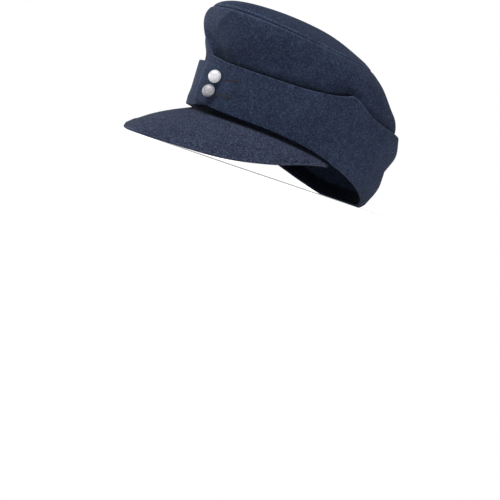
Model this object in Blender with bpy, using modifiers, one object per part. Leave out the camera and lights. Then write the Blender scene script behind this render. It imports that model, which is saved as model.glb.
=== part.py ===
"""A wool field cap: soft crown, turned-up flap buttoned in front, and a covered peak.

The front of the cap points to -Y, the wearer's left is +X and the floor is Z = 0.
The cap lies as it would on a table, on the edge of its peak and the back of its rim.
"""

import math
from collections import namedtuple

import bmesh
import bpy
from mathutils import Matrix
from mathutils import Vector

# Sizes are in millimetres up to the point where a mesh is made. MM turns them into metres.
MM = 0.001

CAP_NAME = "field_cap"

# The box around the cap is centred on the origin by moving everything back this far.
MOVE_BACK = 20.55

# Thickness of each cloth wall and of the stiffened peak.
CROWN_CLOTH = 2.4
FLAP_CLOTH = 2.4
PEAK_BOARD = 2.2
PEAK_FACING = 1.3

# Clearance between pieces that are sewn to one another.
SEAM_GAP = 0.35
TOP_SEAM_SETBACK = 0.875

# Angles are in degrees round the cap from the middle of the front. They grow towards
# the wearer's left. A level counts rows of the crown table up from the rim.
COLUMNS = 64

CrownRow = namedtuple(
    "CrownRow", "name z_front z_side z_back y_front y_back half_width squareness"
)
CROWN_ROWS = (
    CrownRow("rim", 40.0, 30.2, -3.0, -97.5, 101.0, 80.0, 2.00),
    CrownRow("above_rim", 62.0, 50.0, 24.0, -98.0, 108.0, 81.5, 2.08),
    CrownRow("flap_line", 90.0, 88.0, 56.0, -98.0, 112.0, 81.0, 2.15),
    CrownRow("waist", 104.0, 102.0, 82.0, -103.0, 108.0, 79.0, 2.20),
    CrownRow("slouch", 123.0, 118.0, 108.0, -111.0, 85.0, 76.0, 2.25),
    CrownRow("top_seam", 136.0, 128.5, 126.0, -108.0, 60.0, 69.0, 2.25),
    CrownRow("top_edge", 145.0, 136.5, 135.0, -97.0, 44.0, 57.0, 2.20),
    CrownRow("top_middle", 149.0, 146.5, 145.0, -66.0, 12.0, 31.0, 2.10),
    CrownRow("apex", 149.5, 149.5, 149.5, -28.0, -28.0, 0.0, 2.00),
)
TOP_SEAM_LEVEL = 5.0
APEX_LEVEL = 8.0
FOLDS_FADE_LEVELS = 2.0
LEVEL_SEARCH_STEPS = 24
LAST_TOP_RING = 7.7
WALL_LEVELS = 11
TOP_LEVELS = (5.0, 5.15, 5.5, 6.0, 6.5, 7.1, LAST_TOP_RING)

# Soft ridges (positive) and dents (negative) pressed into the crown. Each is a smooth
# bump around a line that leans by so many degrees for each millimetre of height.
Fold = namedtuple("Fold", "name angle height half_angle half_height rise lean")
FOLDS = (
    Fold("ridge_over_flap_end", -17.0, 110.0, 8.0, 26.0, 3.0, -0.32),
    Fold("ridge_to_top", 5.0, 130.0, 7.0, 14.0, 1.6, 0.60),
    Fold("tuck_over_left_flap", 30.0, 95.0, 26.0, 13.0, -2.6, 0.0),
    Fold("tuck_over_right_flap", -46.0, 98.0, 20.0, 13.0, -2.2, 0.0),
    Fold("tuck_over_left_corner", 92.0, 100.0, 20.0, 13.0, -2.2, 0.0),
    Fold("tuck_over_right_corner", -92.0, 100.0, 20.0, 13.0, -2.2, 0.0),
    Fold("back_hollow", 158.0, 106.0, 30.0, 12.0, -1.6, 0.0),
)

# The folds grow from nothing at one height to their full rise at the next.
FOLDS_START = 88.0
FOLDS_FULL = 100.0

# The turned-up flap is cut in two halves that meet at the back and overlap in front.
# Angles are counted from the front towards the half's own side. lift is the height of
# the lower edge over the rim line, top is the height of the upper edge over the floor,
# and the stand-offs are from the crown's outer face to the flap's outer face.
FlapRow = namedtuple("FlapRow", "angle lift top turn_in off_fold off_low off_crease off_high off_top")
StandOff = namedtuple("StandOff", "out")
LEFT_FLAP = (
    FlapRow(-6.5, 6.1, 90.4, 0.0, 7.2, 7.0, 6.8, 6.6, 6.4),
    FlapRow(0.0, 5.6, 89.6, 0.0, 7.0, 6.9, 6.7, 6.6, 6.4),
    FlapRow(9.0, 4.0, 87.4, 0.0, 6.6, 6.8, 6.7, 6.6, 6.4),
    FlapRow(17.0, 2.8, 86.8, 0.0, 6.2, 6.4, 6.4, 6.3, 6.0),
    FlapRow(30.0, 2.0, 86.3, 0.0, 4.6, 4.9, 4.8, 4.4, 3.8),
    FlapRow(58.0, 1.4, 87.0, 0.0, 3.6, 4.4, 4.6, 4.2, 3.2),
    FlapRow(74.0, 0.9, 90.0, 0.0, 3.5, 4.2, 4.6, 4.4, 3.2),
    FlapRow(82.0, 0.4, 93.0, 0.0, 3.5, 4.2, 4.6, 4.4, 3.2),
    FlapRow(87.5, 0.0, 96.0, 0.0, 3.5, 4.2, 4.6, 4.4, 3.2),
    FlapRow(91.0, 0.0, 93.0, 90.0, 3.5, 4.4, 4.6, 4.6, 3.4),
    FlapRow(96.0, 0.0, 88.0, 90.0, 3.5, 4.4, 4.6, 4.6, 3.4),
    FlapRow(102.0, 0.0, 83.5, 90.0, 3.5, 4.6, 4.6, 5.0, 3.6),
    FlapRow(112.0, 0.0, 80.0, 90.0, 3.5, 5.0, 4.6, 5.6, 3.8),
    FlapRow(130.0, 0.0, 77.4, 90.0, 3.6, 5.4, 4.2, 6.6, 4.0),
    FlapRow(150.0, 0.0, 75.2, 90.0, 3.8, 5.6, 3.6, 7.2, 4.2),
    FlapRow(180.0, 0.0, 73.0, 90.0, 3.8, 5.6, 3.8, 7.0, 4.2),
)
# The right half differs only in front, where its end lies under the left half.
RIGHT_FRONT = (
    FlapRow(-13.0, 5.4, 83.0, 0.0, 3.5, 3.3, 3.3, 3.2, 3.2),
    FlapRow(0.0, 3.8, 83.6, 0.0, 3.7, 3.4, 3.4, 3.3, 3.4),
    FlapRow(12.0, 1.0, 84.0, 0.0, 4.0, 3.6, 3.5, 3.6, 3.8),
    FlapRow(24.0, 0.8, 84.0, 0.0, 4.8, 3.7, 3.6, 3.9, 4.4),
    FlapRow(40.0, 0.8, 84.8, 0.0, 4.8, 4.0, 4.2, 4.4, 4.2),
    FlapRow(58.0, 0.8, 87.4, 0.0, 4.0, 4.4, 4.6, 4.2, 3.4),
)
RIGHT_FLAP = RIGHT_FRONT + LEFT_FLAP[6:]
BACK_SEAM_ANGLE = 179.82
WIDEST_FLAP_STEP = 6.5
FLAP_LEVELS = 8
# The lower end of the flap rolls in under the crown's edge along an arc, then runs on.
ROLL_ARC = 5.0
ROLL_RUN = 2.6
ROLL_STEPS = 3

# The crown's own lower edge stands on the rolled-in cloth behind the peak, and comes
# down to the peak in front. Between these two angles it changes from one to the other.
WALL_DOWN_ANGLE = 74.0
WALL_UP_ANGLE = 84.0
FOOT_CLEARANCE = 2.0

# Rows of the peak from its middle to its end, at equal angles. reach is how far the edge
# stands out from the crown and drop is how far it lies below the rim.
PeakRow = namedtuple("PeakRow", "reach drop")
PEAK_HALF = (
    PeakRow(62.6, 37.6),
    PeakRow(56.9, 36.8),
    PeakRow(45.2, 34.3),
    PeakRow(33.7, 25.4),
    PeakRow(16.9, 12.7),
    PeakRow(2.6, 1.9),
)
PEAK_ROWS = PEAK_HALF[:0:-1] + PEAK_HALF
PEAK_END_ANGLE = 88.0
PEAK_COLUMNS = 38
PEAK_SHARES = (0.0, 0.12, 0.28, 0.45, 0.62, 0.78, 0.9, 1.0)
# The peak falls gently near the crown and steeply at its edge: the fall at a share u of
# the reach is a straight part and a part that grows as this power of u.
PEAK_STRAIGHT_FALL = 0.7
PEAK_FALL_POWER = 3.0
PEAK_SEAT = -2.2
FACING_INSET = 0.7
FACING_GAP = 0.5

BUTTON_RADIUS = 6.0
BUTTON_HEIGHT = 3.7
BUTTON_RIM = 0.7
BUTTON_BACK = 1.3
BUTTON_LIP = 0.4
BUTTON_SIDES = 20
DOME_STEPS = 6
SHANK_RADIUS = 1.5
SHANK_LENGTH = 2.4
BUTTON_CLEARANCE = 0.3
# The buttons' places on the left flap: angle, height over the floor, how far each leans
# over on its shank towards the wearer's left, and how far it tips back to face up.
ButtonPlace = namedtuple("ButtonPlace", "name angle height lean tip")
BUTTON_PLACES = (
    ButtonPlace("button_upper", 7.9, 71.5, 27.0, 0.0),
    ButtonPlace("button_lower", 7.2, 57.3, 23.0, 11.0),
)

BLUE_GREY_WOOL = (0.028, 0.038, 0.062, 1.0)
FACING_CLOTH = (0.050, 0.050, 0.062, 1.0)
GREY_METAL = (0.62, 0.63, 0.65, 1.0)


def smooth_step(value, start, end):
    """Rises from 0 at start to 1 at end with no corner."""
    share = min(1.0, max(0.0, (value - start) / (end - start)))
    return share * share * (3.0 - 2.0 * share)


def between_rows(table, position):
    """Reads a table at a position between its rows, on a smooth curve through them."""
    last = len(table) - 1
    lower = min(int(position), last - 1)
    share = position - lower
    rows = [table[max(0, min(last, lower + step))] for step in (-1, 0, 1, 2)]
    values = []
    for before, start, end, after in zip(*rows):
        if isinstance(start, str):
            values.append(start)
            continue
        slope_start = (end - before) / 2.0 if lower > 0 else end - start
        slope_end = (after - start) / 2.0 if lower < last - 1 else end - start
        square = share * share
        cube = square * share
        values.append(
            (2.0 * cube - 3.0 * square + 1.0) * start
            + (cube - 2.0 * square + share) * slope_start
            + (3.0 * square - 2.0 * cube) * end
            + (cube - square) * slope_end
        )
    return type(table[0])(*values)


def at_angle(table, angle):
    """Reads a table whose rows start with an angle, straight from row to row."""
    for lower, upper in zip(table, table[1:]):
        if angle <= upper.angle:
            break
    share = min(1.0, max(0.0, (angle - lower.angle) / (upper.angle - lower.angle)))
    return type(lower)(*[a + (b - a) * share for a, b in zip(lower, upper)])


def signed_power(value, exponent):
    return math.copysign(abs(value) ** exponent, value)


def ring_point(row, angle):
    """A point on one level ring of the crown, a squarish oval that dips at the back."""
    cosine = math.cos(math.radians(angle))
    sine = math.sin(math.radians(angle))
    middle = (row.y_front + row.y_back) / 2.0
    half_length = (row.y_back - row.y_front) / 2.0
    tilt = (row.z_front - row.z_back) / 2.0
    sag = (row.z_front + row.z_back) / 2.0 - row.z_side
    return Vector((
        row.half_width * signed_power(sine, 2.0 / row.squareness),
        middle - half_length * signed_power(cosine, 2.0 / row.squareness),
        row.z_side + tilt * cosine + sag * cosine * cosine,
    ))


def smooth_ring_point(angle, level):
    return ring_point(between_rows(CROWN_ROWS, level), angle)


def outward(angle, level):
    """The level direction that points away from the crown."""
    ahead = smooth_ring_point(angle + 1.0, level)
    behind = smooth_ring_point(angle - 1.0, level)
    along = ahead - behind
    return Vector((along.y, -along.x, 0.0)).normalized()


def fold_rise(angle, height):
    """How far the ridges and dents push the crown's face out, above the buttoned flap."""
    total = 0.0
    for fold in FOLDS:
        line = fold.angle + fold.lean * (height - fold.height)
        turn = (angle - line + 180.0) % 360.0 - 180.0
        reach = (turn / fold.half_angle) ** 2 + ((height - fold.height) / fold.half_height) ** 2
        total += fold.rise * math.exp(-reach)
    return total * smooth_step(height, FOLDS_START, FOLDS_FULL)


def crown_point(angle, level):
    """A point on the crown's outer face."""
    point = smooth_ring_point(angle, level)
    fade = smooth_step(APEX_LEVEL - level, 0.0, FOLDS_FADE_LEVELS)
    return point + outward(angle, min(level, LAST_TOP_RING)) * (fold_rise(angle, point.z) * fade)


def level_at(angle, height):
    """The level of the crown's side wall that lies at a height."""
    low = 0.0
    high = TOP_SEAM_LEVEL
    for _ in range(LEVEL_SEARCH_STEPS):
        middle = (low + high) / 2.0
        if smooth_ring_point(angle, middle).z < height:
            low = middle
        else:
            high = middle
    return (low + high) / 2.0


def rim_height(angle):
    """The line of the rim, pressed flat on the floor at the back."""
    return max(0.0, smooth_ring_point(angle, 0.0).z)


def off_crown(angle, height, stand_off):
    """A point at a height and a distance out from the crown's smooth face."""
    level = level_at(angle, max(height, rim_height(angle)))
    base = smooth_ring_point(angle, level)
    point = base + outward(angle, level) * stand_off
    point.z = height
    return point


def new_material(name, colour, roughness, metallic):
    material = bpy.data.materials.new(name)
    material.use_nodes = True
    shader = material.node_tree.nodes["Principled BSDF"]
    shader.inputs["Base Color"].default_value = colour
    shader.inputs["Roughness"].default_value = roughness
    shader.inputs["Metallic"].default_value = metallic
    return material


def add_sheet(name, grid, closed, thickness, material, tip=None):
    """Makes a wall from a grid of outer points, columns first, and gives it thickness."""
    mesh = bmesh.new()
    shift = Vector((0.0, MOVE_BACK, 0.0))
    columns = [[mesh.verts.new((point + shift) * MM) for point in column] for column in grid]
    pairs = list(zip(columns, columns[1:]))
    if closed:
        pairs.append((columns[-1], columns[0]))
    for left, right in pairs:
        for row in range(len(left) - 1):
            mesh.faces.new((left[row], right[row], right[row + 1], left[row + 1]))
    if tip is not None:
        centre = mesh.verts.new((tip + shift) * MM)
        for left, right in pairs:
            mesh.faces.new((left[-1], right[-1], centre))
    data = bpy.data.meshes.new(name)
    mesh.to_mesh(data)
    mesh.free()
    data.shade_smooth()
    data.materials.append(material)
    piece = bpy.data.objects.new(name, data)
    cap_collection.objects.link(piece)
    solidify = piece.modifiers.new("cloth", "SOLIDIFY")
    solidify.thickness = thickness * MM
    solidify.offset = -1.0
    solidify.use_even_offset = True
    return piece


def wall_foot(angle):
    """How far the crown's lower edge stays above the rim line."""
    raised = FLAP_CLOTH + FOOT_CLEARANCE
    return raised * smooth_step(abs(angle), WALL_DOWN_ANGLE, WALL_UP_ANGLE)


def make_crown_side(wool):
    grid = []
    for column in range(COLUMNS):
        angle = -180.0 + 360.0 * column / COLUMNS
        foot = rim_height(angle) + wall_foot(angle)
        first = level_at(angle, foot)
        last = TOP_SEAM_LEVEL
        points = []
        for step in range(WALL_LEVELS + 1):
            level = first + (last - first) * step / WALL_LEVELS
            points.append(crown_point(angle, level))
        points[0].z = foot
        grid.append(points)
    return add_sheet("crown_side", grid, True, CROWN_CLOTH, wool)


def make_crown_top(wool):
    """The domed oval over the crown, a seam's width inside the side wall's upper edge."""
    grid = []
    for column in range(COLUMNS):
        angle = -180.0 + 360.0 * column / COLUMNS
        points = [crown_point(angle, level) for level in TOP_LEVELS]
        inward = (points[1] - points[0]).normalized()
        points[0] += inward * TOP_SEAM_SETBACK
        grid.append(points)
    tip = smooth_ring_point(0.0, APEX_LEVEL)
    return add_sheet("crown_top", grid, True, CROWN_CLOTH, wool, tip)


def rolled_edge(turn_in):
    """The flap's lower end as steps out and up, from its inner end to the arc's top."""
    turn = math.radians(turn_in)
    bend = turn / ROLL_ARC
    path = []
    for step in range(ROLL_STEPS + 1):
        angle = turn * step / ROLL_STEPS
        length = ROLL_ARC * step / ROLL_STEPS
        if bend > 0.0:
            path.append((-(1.0 - math.cos(angle)) / bend, -math.sin(angle) / bend))
        else:
            path.append((0.0, -length))
    end_out, end_up = path[-1]
    path.append((end_out - math.sin(turn) * ROLL_RUN, end_up - math.cos(turn) * ROLL_RUN))
    path.reverse()
    lowest = min(up for _, up in path)
    return [(out, up - lowest) for out, up in path]


def flap_column(row, side):
    """Points up the outer face of the flap at one angle, from the rolled edge to the top."""
    angle = row.angle * side
    bottom = rim_height(angle) + row.lift
    roll = rolled_edge(row.turn_in)
    points = [off_crown(angle, bottom + up, row.off_fold + out) for out, up in roll]
    start = bottom + roll[-1][1]
    offs = [StandOff(out) for out in (row.off_fold, row.off_low, row.off_crease, row.off_high, row.off_top)]
    for step in range(1, FLAP_LEVELS + 1):
        share = step / FLAP_LEVELS
        out = between_rows(offs, share * (len(offs) - 1)).out
        points.append(off_crown(angle, start + (row.top - start) * share, out))
    return points


def make_flap(name, table, side, wool):
    """One half of the flap. side is 1 for the wearer's left and -1 for the right."""
    angles = [table[0].angle]
    for lower, upper in zip(table, table[1:]):
        steps = math.ceil((upper.angle - lower.angle) / WIDEST_FLAP_STEP)
        angles += [lower.angle + (upper.angle - lower.angle) * (k + 1) / steps for k in range(steps)]
    angles[-1] = BACK_SEAM_ANGLE
    grid = [flap_column(at_angle(table, angle), side) for angle in angles]
    if side < 0:
        grid.reverse()
    return add_sheet(name, grid, False, FLAP_CLOTH, wool)


def peak_row(angle):
    """The peak's reach and drop at an angle."""
    share = (angle + PEAK_END_ANGLE) / (2.0 * PEAK_END_ANGLE)
    return between_rows(PEAK_ROWS, share * (len(PEAK_ROWS) - 1))


def peak_point(angle, share, depth):
    """A point at a share of the peak's reach, at a depth below its upper face."""
    row = peak_row(angle)
    away = outward(angle, 0.0)
    span = row.reach - PEAK_SEAT
    point = smooth_ring_point(angle, 0.0) + away * (PEAK_SEAT + span * share)
    curved = 1.0 - PEAK_STRAIGHT_FALL
    fall = row.drop * (PEAK_STRAIGHT_FALL * share + curved * share ** PEAK_FALL_POWER)
    steepness = PEAK_STRAIGHT_FALL + curved * PEAK_FALL_POWER * share ** (PEAK_FALL_POWER - 1.0)
    slope = math.atan2(row.drop * steepness, span)
    point.z = rim_height(angle) - SEAM_GAP - fall
    below = Vector((0.0, 0.0, -math.cos(slope))) - away * math.sin(slope)
    return point + below * depth


def peak_grid(depth, inset):
    """Columns of points from the peak's edge to the crown, at a depth in the peak."""
    grid = []
    for column in range(PEAK_COLUMNS + 1):
        angle = PEAK_END_ANGLE * (2.0 * column / PEAK_COLUMNS - 1.0)
        last = 1.0 - inset / peak_row(angle).reach
        grid.append([peak_point(angle, share * last, depth) for share in reversed(PEAK_SHARES)])
    return grid


def make_peak(wool, facing):
    """The covered board, and under it the facing, whose edge lies flat on the floor."""
    add_sheet("peak_top", peak_grid(0.0, 0.0), False, PEAK_BOARD, wool)
    under = peak_grid(PEAK_BOARD + FACING_GAP + PEAK_FACING, FACING_INSET)
    for column in under:
        for point in column:
            point.z = max(point.z, 0.0)
    under.reverse()
    add_sheet("peak_facing", under, False, PEAK_FACING, facing)


def button_profile():
    """Half of a button's section, from the top of its dome down to the end of its shank."""
    profile = [(0.0, BUTTON_HEIGHT)]
    for step in range(1, DOME_STEPS):
        tilt = math.pi / 2.0 * step / DOME_STEPS
        profile.append((
            (BUTTON_RADIUS - BUTTON_RIM) * math.sin(tilt),
            BUTTON_BACK + (BUTTON_HEIGHT - BUTTON_BACK) * math.cos(tilt),
        ))
    profile += [
        (BUTTON_RADIUS, BUTTON_BACK),
        (BUTTON_RADIUS, BUTTON_BACK - BUTTON_LIP),
        (BUTTON_RADIUS - BUTTON_RIM, 0.0),
        (SHANK_RADIUS, 0.0),
        (SHANK_RADIUS, -SHANK_LENGTH),
        (0.0, -SHANK_LENGTH),
    ]
    return profile


def make_button(button, metal):
    """A domed metal button, turned about its own axis, with its shank against the flap."""
    mesh = bmesh.new()
    corners = [mesh.verts.new((out * MM, 0.0, up * MM)) for out, up in button_profile()]
    for start, end in zip(corners, corners[1:]):
        mesh.edges.new((start, end))
    data = bpy.data.meshes.new(button.name)
    mesh.to_mesh(data)
    mesh.free()
    data.materials.append(metal)
    piece = bpy.data.objects.new(button.name, data)
    cap_collection.objects.link(piece)
    screw = piece.modifiers.new("turned", "SCREW")
    screw.axis = "Z"
    screw.steps = BUTTON_SIDES
    screw.render_steps = BUTTON_SIDES
    screw.use_merge_vertices = True
    screw.merge_threshold = 0.00005
    lean = math.radians(button.lean)
    tip = math.radians(button.tip)
    tilt = math.acos(math.cos(lean) * math.cos(tip))
    row = at_angle(LEFT_FLAP, button.angle)
    stand = SHANK_LENGTH * math.cos(tilt) + SHANK_RADIUS * math.sin(tilt) + BUTTON_CLEARANCE
    seat = off_crown(button.angle, button.height, row.off_low + stand)
    axis = outward(button.angle, level_at(button.angle, button.height))
    up = Vector((0.0, 0.0, 1.0))
    turn = Matrix((up.cross(axis), up, axis)).transposed().to_4x4()
    place = (seat + Vector((0.0, MOVE_BACK, 0.0))) * MM
    turn = turn @ Matrix.Rotation(lean, 4, "Y") @ Matrix.Rotation(-tip, 4, "X")
    piece.matrix_world = Matrix.Translation(place) @ turn
    return piece


for old in list(bpy.data.objects):
    bpy.data.objects.remove(old, do_unlink=True)

cap_collection = bpy.data.collections.new(CAP_NAME)
bpy.context.scene.collection.children.link(cap_collection)

wool_cloth = new_material("blue_grey_wool", BLUE_GREY_WOOL, 0.95, 0.0)
facing_cloth = new_material("facing_cloth", FACING_CLOTH, 0.9, 0.0)
button_metal = new_material("grey_metal", GREY_METAL, 0.35, 1.0)

make_crown_side(wool_cloth)
make_crown_top(wool_cloth)
make_flap("flap_left", LEFT_FLAP, 1, wool_cloth)
make_flap("flap_right", RIGHT_FLAP, -1, wool_cloth)
make_peak(wool_cloth, facing_cloth)
for place in BUTTON_PLACES:
    make_button(place, button_metal)
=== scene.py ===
# %% [markdown]
# # A wool field cap
# The cap has a soft crown under an oval top, a band of the same wool turned up round it
# and buttoned in front, and a stiff peak covered with wool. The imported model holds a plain
# solid for each main piece, at its size and place. This script lays the real surfaces over
# them: cloth with thickness and rolled edges, seams, stitches, felted wool and grained
# metal.

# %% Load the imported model
import math
from collections import namedtuple

import bmesh
import bpy
from mathutils import Matrix, Vector, noise


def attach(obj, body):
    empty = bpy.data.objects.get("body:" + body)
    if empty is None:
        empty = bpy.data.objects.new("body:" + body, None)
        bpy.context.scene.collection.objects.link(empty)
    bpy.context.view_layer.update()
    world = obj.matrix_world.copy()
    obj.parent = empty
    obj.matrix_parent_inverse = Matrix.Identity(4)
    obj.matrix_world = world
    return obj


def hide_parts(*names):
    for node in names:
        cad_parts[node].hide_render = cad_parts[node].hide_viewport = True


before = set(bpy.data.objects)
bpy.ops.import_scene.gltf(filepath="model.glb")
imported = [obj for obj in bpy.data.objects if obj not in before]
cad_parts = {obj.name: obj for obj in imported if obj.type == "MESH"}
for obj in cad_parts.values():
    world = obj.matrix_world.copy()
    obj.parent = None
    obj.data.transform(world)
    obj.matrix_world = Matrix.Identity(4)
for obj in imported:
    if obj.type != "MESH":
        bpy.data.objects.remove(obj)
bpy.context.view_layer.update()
print("nodes:", sorted(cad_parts))

# %% [markdown]
# The tables below measure the cap in millimetres, sideways and back from the middle of its
# rim and up from the floor. MOVE_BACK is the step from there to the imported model's frame,
# whose origin lies under the middle of the whole cap, so that the peak reaches as far
# forward as the flap does back. A cap is easiest to measure from its rim, so the step is
# taken once, when a point is placed.

# %% Measures of the cap
MM = 0.001
MOVE_BACK = 20.55


def to_world(point):
    """From millimetres in the cap's own measure to metres on the floor."""
    return Vector((point.x, point.y + MOVE_BACK, point.z)) * MM


print("the zero point of the tables in the frame", [round(value, 5) for value in to_world(Vector())])

# %% [markdown]
# The camera stands where the photograph's camera stood, as near as the floor allows: it
# looks from the wearer's front left, rolled a little, because the photograph shows the cap
# tipped back. A long lens at 1.6 m keeps the perspective flat. The camera points straight at
# the middle of the rim, and a lens shift then moves the cap up and a little right, to its
# place in the photograph. Turning the camera instead would distort the cap a little.

# %% Camera
CAMERA_AZIMUTH = math.radians(51.7)
CAMERA_ELEVATION = math.radians(-1.0)
CAMERA_ROLL = math.radians(18.9)
CAMERA_DISTANCE = 1.6
PICTURE = 500.0
PIXELS_PER_METRE = 1047.0
RIM_CENTRE = to_world(Vector((0.0, 0.0, 40.0)))
RIM_CENTRE_PIXEL = (281.4, 137.4)
SENSOR = 36.0


def picture_axes():
    """The camera's right, up and backward directions, with its roll."""
    level_share = math.cos(CAMERA_ELEVATION)
    back = Vector((
        math.sin(CAMERA_AZIMUTH) * level_share,
        -math.cos(CAMERA_AZIMUTH) * level_share,
        math.sin(CAMERA_ELEVATION),
    ))
    right = Vector((math.cos(CAMERA_AZIMUTH), math.sin(CAMERA_AZIMUTH), 0.0))
    up = back.cross(right)
    turn = Matrix.Rotation(CAMERA_ROLL, 3, back)
    return turn @ right, turn @ up, back


camera_right, camera_up, camera_back = picture_axes()
lens_data = bpy.data.cameras.new("camera")
lens_data.sensor_width = SENSOR
lens_data.lens = PIXELS_PER_METRE * CAMERA_DISTANCE / PICTURE * SENSOR
lens_data.shift_x = (PICTURE / 2.0 - RIM_CENTRE_PIXEL[0]) / PICTURE
lens_data.shift_y = (RIM_CENTRE_PIXEL[1] - PICTURE / 2.0) / PICTURE
camera = bpy.data.objects.new("camera", lens_data)
camera_turn = Matrix((camera_right, camera_up, camera_back)).transposed().to_4x4()
camera.matrix_world = Matrix.Translation(RIM_CENTRE + camera_back * CAMERA_DISTANCE) @ camera_turn
bpy.context.scene.collection.objects.link(camera)
bpy.context.scene.camera = camera
print("lens", round(lens_data.lens, 1), "mm, camera height", round(camera.location.z, 4), "m")

# %% [markdown]
# The forms of the soft pieces follow the rows that the solids were made from. A row gives
# one ring round the crown: its height in front, at the side and behind, how far it reaches
# forward and back, its half width and how square its oval is. A smooth curve through the
# rows gives every ring between them. A cloth simulation could drape the cap instead, but
# chosen rings keep the slouch that the photograph shows, and give the same cap on every
# run. Sizes here are in millimetres, angles in degrees from the front towards the wearer's
# left.

# %% Rings of the crown
CrownRow = namedtuple("CrownRow", "z_front z_side z_back y_front y_back half_width squareness")
CROWN_ROWS = (
    CrownRow(40.0, 30.2, -3.0, -97.5, 101.0, 80.0, 2.00),
    CrownRow(62.0, 50.0, 24.0, -98.0, 108.0, 81.5, 2.08),
    CrownRow(90.0, 88.0, 56.0, -98.0, 112.0, 81.0, 2.15),
    CrownRow(104.0, 102.0, 82.0, -103.0, 108.0, 79.0, 2.20),
    CrownRow(123.0, 118.0, 108.0, -111.0, 85.0, 76.0, 2.25),
    CrownRow(136.0, 128.5, 126.0, -108.0, 60.0, 69.0, 2.25),
    CrownRow(145.0, 136.5, 135.0, -97.0, 44.0, 57.0, 2.20),
    CrownRow(149.0, 146.5, 145.0, -66.0, 12.0, 31.0, 2.10),
    CrownRow(149.5, 149.5, 149.5, -28.0, -28.0, 0.0, 2.00),
)
TOP_SEAM_LEVEL = 5.0
APEX_LEVEL = 8.0
LEVEL_HALVINGS = 18


def smooth_step(value, start, end):
    """Rises from 0 at start to 1 at end with no corner."""
    share = min(1.0, max(0.0, (value - start) / (end - start)))
    return share * share * (3.0 - 2.0 * share)


def bump(value, centre, half_width):
    """A smooth bump of height 1 round a centre."""
    return math.exp(-((value - centre) / half_width) ** 2)


def smooth_curve(share, start, end, slope_start, slope_end):
    """A value between two others, on the cubic curve that leaves and meets them at given slopes."""
    square = share * share
    cube = square * share
    return (
        (2.0 * cube - 3.0 * square + 1.0) * start
        + (cube - 2.0 * square + share) * slope_start
        + (3.0 * square - 2.0 * cube) * end
        + (cube - square) * slope_end
    )


def between_rows(table, position):
    """Reads a table at a position between its rows, on a smooth curve through them."""
    last = len(table) - 1
    lower = min(int(position), last - 1)
    rows = [table[max(0, min(last, lower + step))] for step in (-1, 0, 1, 2)]
    values = []
    for before, start, end, after in zip(*rows):
        slope_start = (end - before) / 2.0 if lower > 0 else end - start
        slope_end = (after - start) / 2.0 if lower < last - 1 else end - start
        values.append(smooth_curve(position - lower, start, end, slope_start, slope_end))
    return type(table[0])(*values)


def signed_power(value, exponent):
    """A power of a value that keeps the value's sign."""
    return math.copysign(abs(value) ** exponent, value)


def ring_point(angle, level):
    """A point on the crown's smooth face, before any fold."""
    row = between_rows(CROWN_ROWS, level)
    cosine = math.cos(math.radians(angle))
    sine = math.sin(math.radians(angle))
    half_length = (row.y_back - row.y_front) / 2.0
    tilt = (row.z_front - row.z_back) / 2.0
    sag = (row.z_front + row.z_back) / 2.0 - row.z_side
    return Vector((
        row.half_width * signed_power(sine, 2.0 / row.squareness),
        (row.y_front + row.y_back) / 2.0 - half_length * signed_power(cosine, 2.0 / row.squareness),
        row.z_side + tilt * cosine + sag * cosine * cosine,
    ))


def outward(angle, level):
    """The level direction that points away from the crown."""
    along = ring_point(angle + 1.0, level) - ring_point(angle - 1.0, level)
    return Vector((along.y, -along.x, 0.0)).normalized()


def rim_height(angle):
    """The line of the rim, pressed flat on the floor at the back."""
    return max(0.0, ring_point(angle, 0.0).z)


def level_at(angle, height):
    """The level of the crown's side wall that lies at a height."""
    low = 0.0
    high = TOP_SEAM_LEVEL
    for _ in range(LEVEL_HALVINGS):
        middle = (low + high) / 2.0
        if ring_point(angle, middle).z < height:
            low = middle
        else:
            high = middle
    return (low + high) / 2.0


print("rim height in front", rim_height(0.0), "mm, at the back", rim_height(180.0), "mm")

# %% [markdown]
# The flap is a doubled band that can be let down over the ears. Turned up, its lower edge
# rolls in under the rim behind the peak, and its wearer's left end lies over the right one
# in front. The rows give, for each angle, how high the lower edge lies over the rim line,
# the height of the upper edge, how far the lower edge has turned in, and how far the outer
# face stands off the crown at five heights. From the ears back both halves are alike. A flat
# strip could be bent round the crown with a modifier, but this band changes its height, its
# roll and its distance all the way round, and rows say that plainly.

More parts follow.
